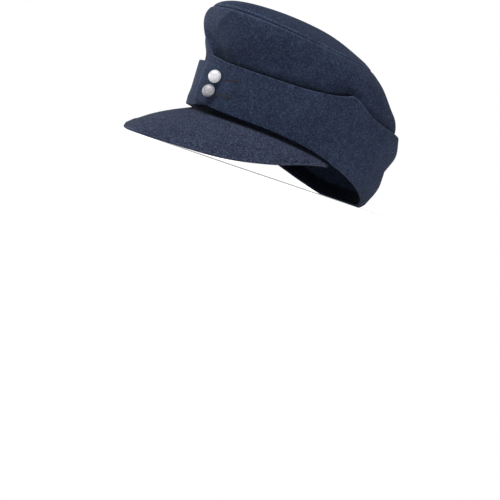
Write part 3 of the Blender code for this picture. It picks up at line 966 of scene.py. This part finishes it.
def button_matrix(button):
    """The place of a button on the flap, its lean to one side and its tip upwards."""
    lean = math.radians(button.lean)
    tip = math.radians(button.tip)
    tilt = math.acos(math.cos(lean) * math.cos(tip))
    row = at_angle(LEFT_FLAP, button.angle)
    stand = SHANK_LENGTH * math.cos(tilt) + SHANK_RADIUS * math.sin(tilt) + BUTTON_CLEARANCE
    seat = off_crown(button.angle, button.height, row.off_low + stand)
    axis = outward(button.angle, level_at(button.angle, button.height))
    up = Vector((0.0, 0.0, 1.0))
    turn = Matrix((up.cross(axis), up, axis)).transposed().to_4x4()
    turn = turn @ Matrix.Rotation(lean, 4, "Y") @ Matrix.Rotation(-tip, 4, "X")
    return Matrix.Translation(to_world(seat)) @ turn


def make_button(button, seed):
    """A turned and grained button; the seed moves its grain, so that no two are alike."""
    mesh = bmesh.new()
    section = button_section()
    corners = [mesh.verts.new((out, 0.0, up)) for out, up in section]
    edges = [mesh.edges.new(pair) for pair in zip(corners, corners[1:])]
    bmesh.ops.spin(
        mesh, geom=corners + edges, cent=(0, 0, 0), axis=(0, 0, 1), dvec=(0, 0, 0),
        angle=math.tau, steps=BUTTON_SPIN, use_merge=True, use_duplicate=False,
    )
    bmesh.ops.remove_doubles(mesh, verts=mesh.verts, dist=TURNING_MERGE)
    for vertex in mesh.verts:
        from_rim = DOME_RADIUS - math.hypot(vertex.co.x, vertex.co.y)
        if from_rim > GRAIN_MARGIN and vertex.co.z > BUTTON_BACK:
            cell = noise.noise(vertex.co / GRAIN_SIZE + Vector((seed, 0.0, 0.0)))
            vertex.co.z += GRAIN_DEPTH * cell * smooth_step(from_rim, GRAIN_MARGIN, GRAIN_FULL)
    bmesh.ops.recalc_face_normals(mesh, faces=mesh.faces)
    mesh.transform(Matrix.Scale(MM, 4))
    mesh.transform(button_matrix(button))
    data = bpy.data.meshes.new(button.name + "_grained")
    mesh.to_mesh(data)
    mesh.free()
    data.shade_smooth()
    data.set_sharp_from_angle(angle=SHARP_ANGLE)
    piece = bpy.data.objects.new(button.name + "_grained", data)
    bpy.context.scene.collection.objects.link(piece)
    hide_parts(button.name)
    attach(piece, "root")
    return piece


buttons = [make_button(button, GRAIN_SHIFT * index) for index, button in enumerate(BUTTONS)]
print("buttons", [len(piece.data.polygons) for piece in buttons])

# %% [markdown]
# A buttonhole is a slit whose two edges are covered with close thread loops. Each loop is
# a small bent rod across the edge. One rod is shaped from a cylinder, then copied along
# both edges, each copy turned a little differently, and the copies make one piece. A dark
# line in the material would do from far off, but beside the buttons real loops catch the
# light as thread does.

# %% Buttonholes
HoleRow = namedtuple("HoleRow", "name start_angle end_angle start_height end_height")
HOLES = (
    HoleRow("buttonhole_upper", 11.5, 23.5, 70.4, 73.4),
    HoleRow("buttonhole_lower", 10.5, 21.6, 55.9, 58.0),
)
THREAD_RADIUS = 0.17
LOOP_WIDTH = 1.0
LOOP_STEP = 0.36
SLIT_HALF = 0.12
LOOP_SIDES = 6
LOOP_JOINTS = 5
LOOP_RISE = 0.12
LOOP_SLANT = 0.12
LOOP_UNEVEN = 0.15
UNEVEN_STEP = 0.7


def flap_surface(angle, height):
    """A point on the left half's outer face and the direction away from it."""
    row = at_angle(LEFT_FLAP, angle)
    start = flap_start(angle, row)
    share = (height - start) / (row.top - start)
    out = stand_off(row, share) + flap_relief(angle, height, share) + button_pull(angle, height)
    return off_crown(angle, height, out), outward(angle, level_at(angle, height))


def loop_shape():
    """One thread loop: a thin rod along its own Z, bent into a low arch towards Y."""
    mesh = bmesh.new()
    bmesh.ops.create_cone(
        mesh, cap_ends=True, segments=LOOP_SIDES,
        radius1=THREAD_RADIUS, radius2=THREAD_RADIUS, depth=LOOP_WIDTH,
    )
    sides = [edge for edge in mesh.edges if edge.calc_length() > LOOP_WIDTH / 2.0]
    bmesh.ops.subdivide_edges(mesh, edges=sides, cuts=LOOP_JOINTS, use_grid_fill=True)
    for vertex in mesh.verts:
        vertex.co.y += LOOP_RISE * (1.0 - (2.0 * vertex.co.z / LOOP_WIDTH) ** 2)
    data = bpy.data.meshes.new("loop_shape")
    mesh.to_mesh(data)
    mesh.free()
    return data


def make_buttonhole(hole, loop):
    """Thread loops along both edges of a slit, laid on the flap's outer face."""
    mesh = bmesh.new()
    start, _ = flap_surface(hole.start_angle, hole.start_height)
    end, _ = flap_surface(hole.end_angle, hole.end_height)
    along = (end - start).normalized()
    count = int((end - start).length / LOOP_STEP)
    for index in range(count + 1):
        share = index / count
        angle = hole.start_angle + (hole.end_angle - hole.start_angle) * share
        height = hole.start_height + (hole.end_height - hole.start_height) * share
        point, away = flap_surface(angle, height)
        across = away.cross(along).normalized()
        away = along.cross(across).normalized()
        uneven = noise.noise(Vector((index * UNEVEN_STEP, hole.start_height, 0.0)))
        for side in (-1.0, 1.0):
            centre = point + across * side * (SLIT_HALF + LOOP_WIDTH / 2.0)
            turn = Matrix((along, away, across)).transposed()
            turn = turn @ Matrix.Rotation(LOOP_SLANT * side + LOOP_UNEVEN * uneven, 3, "Y")
            first = len(mesh.verts)
            mesh.from_mesh(loop)
            mesh.verts.ensure_lookup_table()
            matrix = Matrix.Translation(to_world(centre)) @ turn.to_4x4() @ Matrix.Scale(MM, 4)
            bmesh.ops.transform(mesh, matrix=matrix, verts=mesh.verts[first:])
    data = bpy.data.meshes.new(hole.name)
    mesh.to_mesh(data)
    mesh.free()
    data.shade_smooth()
    piece = bpy.data.objects.new(hole.name, data)
    bpy.context.scene.collection.objects.link(piece)
    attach(piece, "root")
    return piece


one_loop = loop_shape()
buttonholes = [make_buttonhole(hole, one_loop) for hole in HOLES]
bpy.data.meshes.remove(one_loop)
print("buttonholes", [len(piece.data.polygons) for piece in buttonholes])

# %% [markdown]
# A finish is a tree of nodes, and a few helpers lay the nodes that all the finishes here
# need: a noise on the piece's own coordinates, a ramp that turns a value into a colour, a
# mix of two colours, and a bump. Values that are the same all over a surface are set on the
# shader itself.

# %% Node helpers
NoiseRow = namedtuple("NoiseRow", "scale detail roughness")
Stop = namedtuple("Stop", "place colour")
NO_STRETCH = (1.0, 1.0, 1.0)
NO_TURN = (0.0, 0.0, 0.0)
WHITE = (1.0, 1.0, 1.0, 1.0)


def new_material(name, settings):
    """A material, its node tree and its shader, with the shader's plain values set."""
    material = bpy.data.materials.new(name)
    material.use_nodes = True
    shader = material.node_tree.nodes["Principled BSDF"]
    for socket, value in settings.items():
        shader.inputs[socket].default_value = value
    return material, material.node_tree, shader


def own_coordinates(tree):
    """The piece's own coordinates, so that a pattern stays on it from every side."""
    return tree.nodes.new("ShaderNodeTexCoord").outputs["Object"]


def noise_node(tree, source, row, stretch=NO_STRETCH, turn=NO_TURN):
    """A noise texture on coordinates that a Mapping node stretches and turns."""
    mapping = tree.nodes.new("ShaderNodeMapping")
    mapping.inputs["Scale"].default_value = stretch
    mapping.inputs["Rotation"].default_value = turn
    tree.links.new(source, mapping.inputs["Vector"])
    texture = tree.nodes.new("ShaderNodeTexNoise")
    texture.inputs["Scale"].default_value = row.scale
    texture.inputs["Detail"].default_value = row.detail
    texture.inputs["Roughness"].default_value = row.roughness
    tree.links.new(mapping.outputs["Vector"], texture.inputs["Vector"])
    return texture.outputs["Fac"]


def math_node(tree, operation, first, second):
    """A sum, product or the like of two values, each a number or another node's output."""
    node = tree.nodes.new("ShaderNodeMath")
    node.operation = operation
    for socket, value in zip(node.inputs, (first, second)):
        if isinstance(value, float):
            socket.default_value = value
        else:
            tree.links.new(value, socket)
    return node.outputs[0]


def colour_ramp(tree, source, stops):
    """A colour for each value of a source, read between stops."""
    ramp = tree.nodes.new("ShaderNodeValToRGB")
    while len(ramp.color_ramp.elements) < len(stops):
        ramp.color_ramp.elements.new(0.5)
    for element, stop in zip(ramp.color_ramp.elements, stops):
        element.position = stop.place
        element.color = stop.colour
    tree.links.new(source, ramp.inputs["Fac"])
    return ramp.outputs["Color"]


def mix_colours(tree, kind, share, first, second):
    """Two colours mixed or multiplied, with the second one's share."""
    node = tree.nodes.new("ShaderNodeMix")
    node.data_type = "RGBA"
    node.blend_type = kind
    node.inputs["Factor"].default_value = share
    tree.links.new(first, node.inputs["A"])
    tree.links.new(second, node.inputs["B"])
    return node.outputs["Result"]


def multiply_by_ramp(tree, colour, source, stops):
    """A colour made darker or lighter by a ramp over a source."""
    return mix_colours(tree, "MULTIPLY", 1.0, colour, colour_ramp(tree, source, stops))


def add_bump(tree, shader, height, strength, distance):
    """Raises the surface by a height as fine as the eye sees, without moving its mesh."""
    bump_node = tree.nodes.new("ShaderNodeBump")
    bump_node.inputs["Strength"].default_value = strength
    bump_node.inputs["Distance"].default_value = distance
    tree.links.new(height, bump_node.inputs["Height"])
    tree.links.new(bump_node.outputs["Normal"], shader.inputs["Normal"])


# %% [markdown]
# Felted wool is woven cloth whose face has been milled until the yarns disappear under a
# mat of short fibres. Close up it is a mixture of dark and lighter hairs lying every way.
# The colour comes from flecks and from hairs, which are fine stretched noises, under two
# slower noises that make it cloudy. A picture of cloth could be laid on the sheets, but
# noises never repeat, and they run on across a seam. The painted light and wear number of
# each sheet then makes it paler above 0, as a painted highlight, and darker below 0, as
# painted shade. The peak's wool is a paler copy, partly faded by the sun and partly painted
# light on its upward face: its light hairs are paler, and its three tones lie further apart.

# %% Wool
WoolFinish = namedtuple("WoolFinish", "name dark middle light bump_depth sheen")
BLUE_GREY = WoolFinish(
    name="blue_grey_wool",
    dark=(0.0076, 0.0112, 0.0245, 1.0),
    middle=(0.0180, 0.0264, 0.0520, 1.0),
    light=(0.0480, 0.0640, 0.1090, 1.0),
    bump_depth=0.0009,
    sheen=0.05,
)
# A paler copy of the wool for the peak: partly faded by the sun, partly painted light on its upward
# face.
SUN_FADED_AND_LIT = WoolFinish(
    name="sun_faded_and_lit_wool",
    dark=(0.0055, 0.0080, 0.0180, 1.0),
    middle=(0.0215, 0.0285, 0.0530, 1.0),
    light=(0.0760, 0.0900, 0.1360, 1.0),
    bump_depth=0.0011,
    sheen=0.05,
)
# The facing's warm grey is partly the cloth's own and partly painted light reflected from below.
FACING_GREY_AND_REFLECTION = WoolFinish(
    name="grey_facing_cloth_and_reflection",
    dark=(0.0200, 0.0190, 0.0250, 1.0),
    middle=(0.0380, 0.0370, 0.0470, 1.0),
    light=(0.0680, 0.0660, 0.0800, 1.0),
    bump_depth=0.0003,
    sheen=0.02,
)
HAIRS = NoiseRow(1700.0, 1.0, 0.5)
HAIR_STRETCH = (1.0, 0.16, 1.0)
HAIR_TURNS = ((0.3, 0.2, 0.1), (1.2, 0.4, 0.9), (0.5, 1.3, 1.9), (1.9, 0.9, 2.7))
HAIR_PLACES = (0.52, 0.64, 0.78)
HAIR_SHARE = 0.5
FLECKS = NoiseRow(620.0, 3.0, 0.65)
FLECK_PLACES = (0.35, 0.50, 0.65)
FLECK_HEIGHT = 0.8
BLOTCHES = NoiseRow(130.0, 2.0, 0.6)
BLOTCH_STOPS = (Stop(0.3, (0.84, 0.84, 0.85, 1.0)), Stop(0.7, (1.16, 1.16, 1.15, 1.0)))
CLOUDS = NoiseRow(22.0, 2.0, 0.5)
CLOUD_STOPS = (Stop(0.35, (0.92, 0.92, 0.93, 1.0)), Stop(0.65, (1.08, 1.08, 1.07, 1.0)))
# Painted shade at 0, no change at 0.5 and a painted highlight at 1, read from each vertex's painted
# light and wear number.
LIGHT_AND_WEAR_STOPS = (
    Stop(0.0, (0.18, 0.18, 0.19, 1.0)),
    Stop(0.5, WHITE),
    Stop(1.0, (2.30, 2.20, 2.00, 1.0)),
)
WOOL_BUMP = 0.9
WOOL_SHADER = {
    "Roughness": 0.92,
    "Specular IOR Level": 0.05,
    "Sheen Roughness": 0.45,
    "Sheen Tint": (0.55, 0.62, 0.80, 1.0),
}


def felt_height(tree, source):
    """The height of a mat of short hairs: stretched noises that lie four ways."""
    total = None
    for turn in HAIR_TURNS:
        hair = noise_node(tree, source, HAIRS, HAIR_STRETCH, turn)
        total = hair if total is None else math_node(tree, "MAXIMUM", total, hair)
    return total


def three_tones(finish, places):
    """Ramp stops for the dark, middle and light hairs of a finish."""
    tones = (finish.dark, finish.middle, finish.light)
    return [Stop(place, tone) for place, tone in zip(places, tones)]


def wool_material(finish):
    """Felted cloth: flecks and hairs of three tones, cloudy, with its sheet's painted highlights,
    painted shade and wear.
    """
    material, tree, shader = new_material(finish.name, WOOL_SHADER)
    shader.inputs["Sheen Weight"].default_value = finish.sheen
    coordinates = own_coordinates(tree)
    hairs = felt_height(tree, coordinates)
    flecks = noise_node(tree, coordinates, FLECKS)
    fleck_colour = colour_ramp(tree, flecks, three_tones(finish, FLECK_PLACES))
    hair_colour = colour_ramp(tree, hairs, three_tones(finish, HAIR_PLACES))
    colour = mix_colours(tree, "MIX", HAIR_SHARE, fleck_colour, hair_colour)
    colour = multiply_by_ramp(tree, colour, noise_node(tree, coordinates, BLOTCHES), BLOTCH_STOPS)
    colour = multiply_by_ramp(tree, colour, noise_node(tree, coordinates, CLOUDS), CLOUD_STOPS)
    # The sheet's number of painted highlight, painted shade and wear.
    painted_light_and_wear = tree.nodes.new("ShaderNodeAttribute")
    painted_light_and_wear.attribute_name = "painted_light_and_wear"
    half_light_and_wear = math_node(tree, "MULTIPLY", painted_light_and_wear.outputs["Fac"], 0.5)
    colour = multiply_by_ramp(tree, colour, math_node(tree, "ADD", half_light_and_wear, 0.5), LIGHT_AND_WEAR_STOPS)
    tree.links.new(colour, shader.inputs["Base Color"])
    height = math_node(tree, "ADD", hairs, math_node(tree, "MULTIPLY", flecks, FLECK_HEIGHT))
    add_bump(tree, shader, height, WOOL_BUMP, finish.bump_depth)
    return material


wool = wool_material(BLUE_GREY)
faded_and_lit_wool = wool_material(SUN_FADED_AND_LIT)
facing = wool_material(FACING_GREY_AND_REFLECTION)
for cloth_piece in (crown_side, crown_top, flap_left, flap_right):
    cloth_piece.data.materials.append(wool)
peak_wool.data.materials.append(faded_and_lit_wool)
peak_under.data.materials.append(facing)
print("cloths", [cloth.name for cloth in (wool, faded_and_lit_wool, facing)])

# %% [markdown]
# The buttons are of a pale grained metal, matt from wear and blotched with tarnish, and the
# lower one's copy of it is painted much darker than the upper's, as painted shade. One plain
# metallic value would look new and polished, so this one is about half metallic, a fine noise
# grains it and a slower one tarnishes it.
# The buttonholes' thread is almost black, with a faint grain of twisted strands.

# %% Metal and thread
MetalFinish = namedtuple("MetalFinish", "name dark light")
BRIGHT_METAL = MetalFinish("grained_metal", (0.42, 0.42, 0.44, 1.0), (0.84, 0.84, 0.87, 1.0))
# The lower button's copy, painted darker as painted shade.
SHADED_METAL = MetalFinish("shaded_grained_metal", (0.19, 0.19, 0.205, 1.0), (0.40, 0.40, 0.425, 1.0))
METAL_GRAIN = NoiseRow(1900.0, 2.0, 0.6)
GRAIN_PLACES = (0.3, 0.65)
TARNISH = NoiseRow(560.0, 2.0, 0.5)
TARNISH_STOPS = (Stop(0.38, (0.74, 0.74, 0.75, 1.0)), Stop(0.60, WHITE))
METAL_BUMP = 0.7
METAL_BUMP_DEPTH = 0.00012
METAL_SHADER = {"Metallic": 0.45, "Roughness": 0.55}
THREAD_STRANDS = NoiseRow(3200.0, 1.0, 0.5)
THREAD_STOPS = (Stop(0.35, (0.021, 0.022, 0.029, 1.0)), Stop(0.7, (0.044, 0.045, 0.056, 1.0)))
THREAD_SHADER = {"Roughness": 0.85, "Specular IOR Level": 0.08}


def metal_material(finish):
    """Matt cast metal with a fine grain and blotches of tarnish."""
    material, tree, shader = new_material(finish.name, METAL_SHADER)
    coordinates = own_coordinates(tree)
    grain = noise_node(tree, coordinates, METAL_GRAIN)
    stops = [Stop(place, tone) for place, tone in zip(GRAIN_PLACES, (finish.dark, finish.light))]
    colour = colour_ramp(tree, grain, stops)
    colour = multiply_by_ramp(tree, colour, noise_node(tree, coordinates, TARNISH), TARNISH_STOPS)
    tree.links.new(colour, shader.inputs["Base Color"])
    add_bump(tree, shader, grain, METAL_BUMP, METAL_BUMP_DEPTH)
    return material


def thread_material():
    """Dark thread with finely grained strands."""
    material, tree, shader = new_material("dark_thread", THREAD_SHADER)
    strands = noise_node(tree, own_coordinates(tree), THREAD_STRANDS)
    tree.links.new(colour_ramp(tree, strands, THREAD_STOPS), shader.inputs["Base Color"])
    return material


for piece, finish in zip(buttons, (BRIGHT_METAL, SHADED_METAL)):
    piece.data.materials.append(metal_material(finish))
thread = thread_material()
for piece in buttonholes:
    piece.data.materials.append(thread)
print("metals and thread", [piece.data.materials[0].name for piece in buttons + buttonholes])

# %% [markdown]
# The floor is one plain pale sheet, and without it the cap would seem to float. It glows a
# little, so that the cap's shadow stays soft and pale. It is small and as white as what lies
# behind it, so that its far edge doesn't show.

# %% Floor
FLOOR_SIZE = 1.8
FLOOR_SHADER = {
    "Base Color": (0.86, 0.86, 0.86, 1.0),
    "Roughness": 0.9,
    "Emission Color": WHITE,
    "Emission Strength": 0.42,
}
floor_mesh = bmesh.new()
bmesh.ops.create_grid(floor_mesh, x_segments=1, y_segments=1, size=FLOOR_SIZE / 2.0)
floor_data = bpy.data.meshes.new("floor")
floor_mesh.to_mesh(floor_data)
floor_mesh.free()
floor = bpy.data.objects.new("floor", floor_data)
bpy.context.scene.collection.objects.link(floor)
floor_material, _, _ = new_material("pale_floor", FLOOR_SHADER)
floor.data.materials.append(floor_material)
print("floor", FLOOR_SIZE, "m across")

# %% [markdown]
# The surroundings are plain white where they are seen, and dimmer where they light the
# cap, so that its folds keep their shade. One background can't do both, so a Light Path node
# chooses between two.

# %% White surroundings
SEEN_STRENGTH = 1.0
FILL_STRENGTH = 0.32


def white_surroundings():
    """A world with one strength for the picture and another for the light it gives."""
    world = bpy.data.worlds.new("white_surroundings")
    world.use_nodes = True
    nodes = world.node_tree.nodes
    links = world.node_tree.links
    seen = nodes["Background"]
    fill = nodes.new("ShaderNodeBackground")
    for background, strength in ((seen, SEEN_STRENGTH), (fill, FILL_STRENGTH)):
        background.inputs["Color"].default_value = WHITE
        background.inputs["Strength"].default_value = strength
    mix = nodes.new("ShaderNodeMixShader")
    links.new(nodes.new("ShaderNodeLightPath").outputs["Is Camera Ray"], mix.inputs[0])
    links.new(fill.outputs["Background"], mix.inputs[1])
    links.new(seen.outputs["Background"], mix.inputs[2])
    links.new(mix.outputs["Shader"], nodes["World Output"].inputs["Surface"])
    return world


bpy.context.scene.world = white_surroundings()
bpy.context.scene.view_settings.view_transform = "Standard"
print("the surroundings light the cap at", FILL_STRENGTH, "of their white")

# %% [markdown]
# Three large soft lights stand round the cap, and each row measures one from the camera's
# side: how far right of the cap, above it, and back towards the camera. The key stands
# behind on the left and draws the pale edge of crown and crease, as in the photograph. The
# fill stands in front on the right, and the top light above, a little in front.

# %% Lights
LightRow = namedtuple("LightRow", "name right up back size power")
LIGHTS = (
    LightRow("soft_key", -2.2, 0.6, -2.3, 1.2, 100.0),
    LightRow("soft_fill", 2.8, 1.2, 1.4, 1.6, 44.0),
    LightRow("soft_top", -0.8, 2.8, 1.0, 1.2, 103.0),
)
LIGHT_AIM = Vector((0.0, 0.0, 0.08))
for row in LIGHTS:
    light_data = bpy.data.lights.new(row.name, "AREA")
    light_data.shape = "DISK"
    light_data.size = row.size
    light_data.energy = row.power
    light = bpy.data.objects.new(row.name, light_data)
    stand = LIGHT_AIM + camera_right * row.right + camera_up * row.up + camera_back * row.back
    turn = (LIGHT_AIM - stand).normalized().to_track_quat("-Z", "Y").to_matrix().to_4x4()
    light.matrix_world = Matrix.Translation(stand) @ turn
    bpy.context.scene.collection.objects.link(light)
    print(row.name, "at", [round(value, 2) for value in stand], "m")
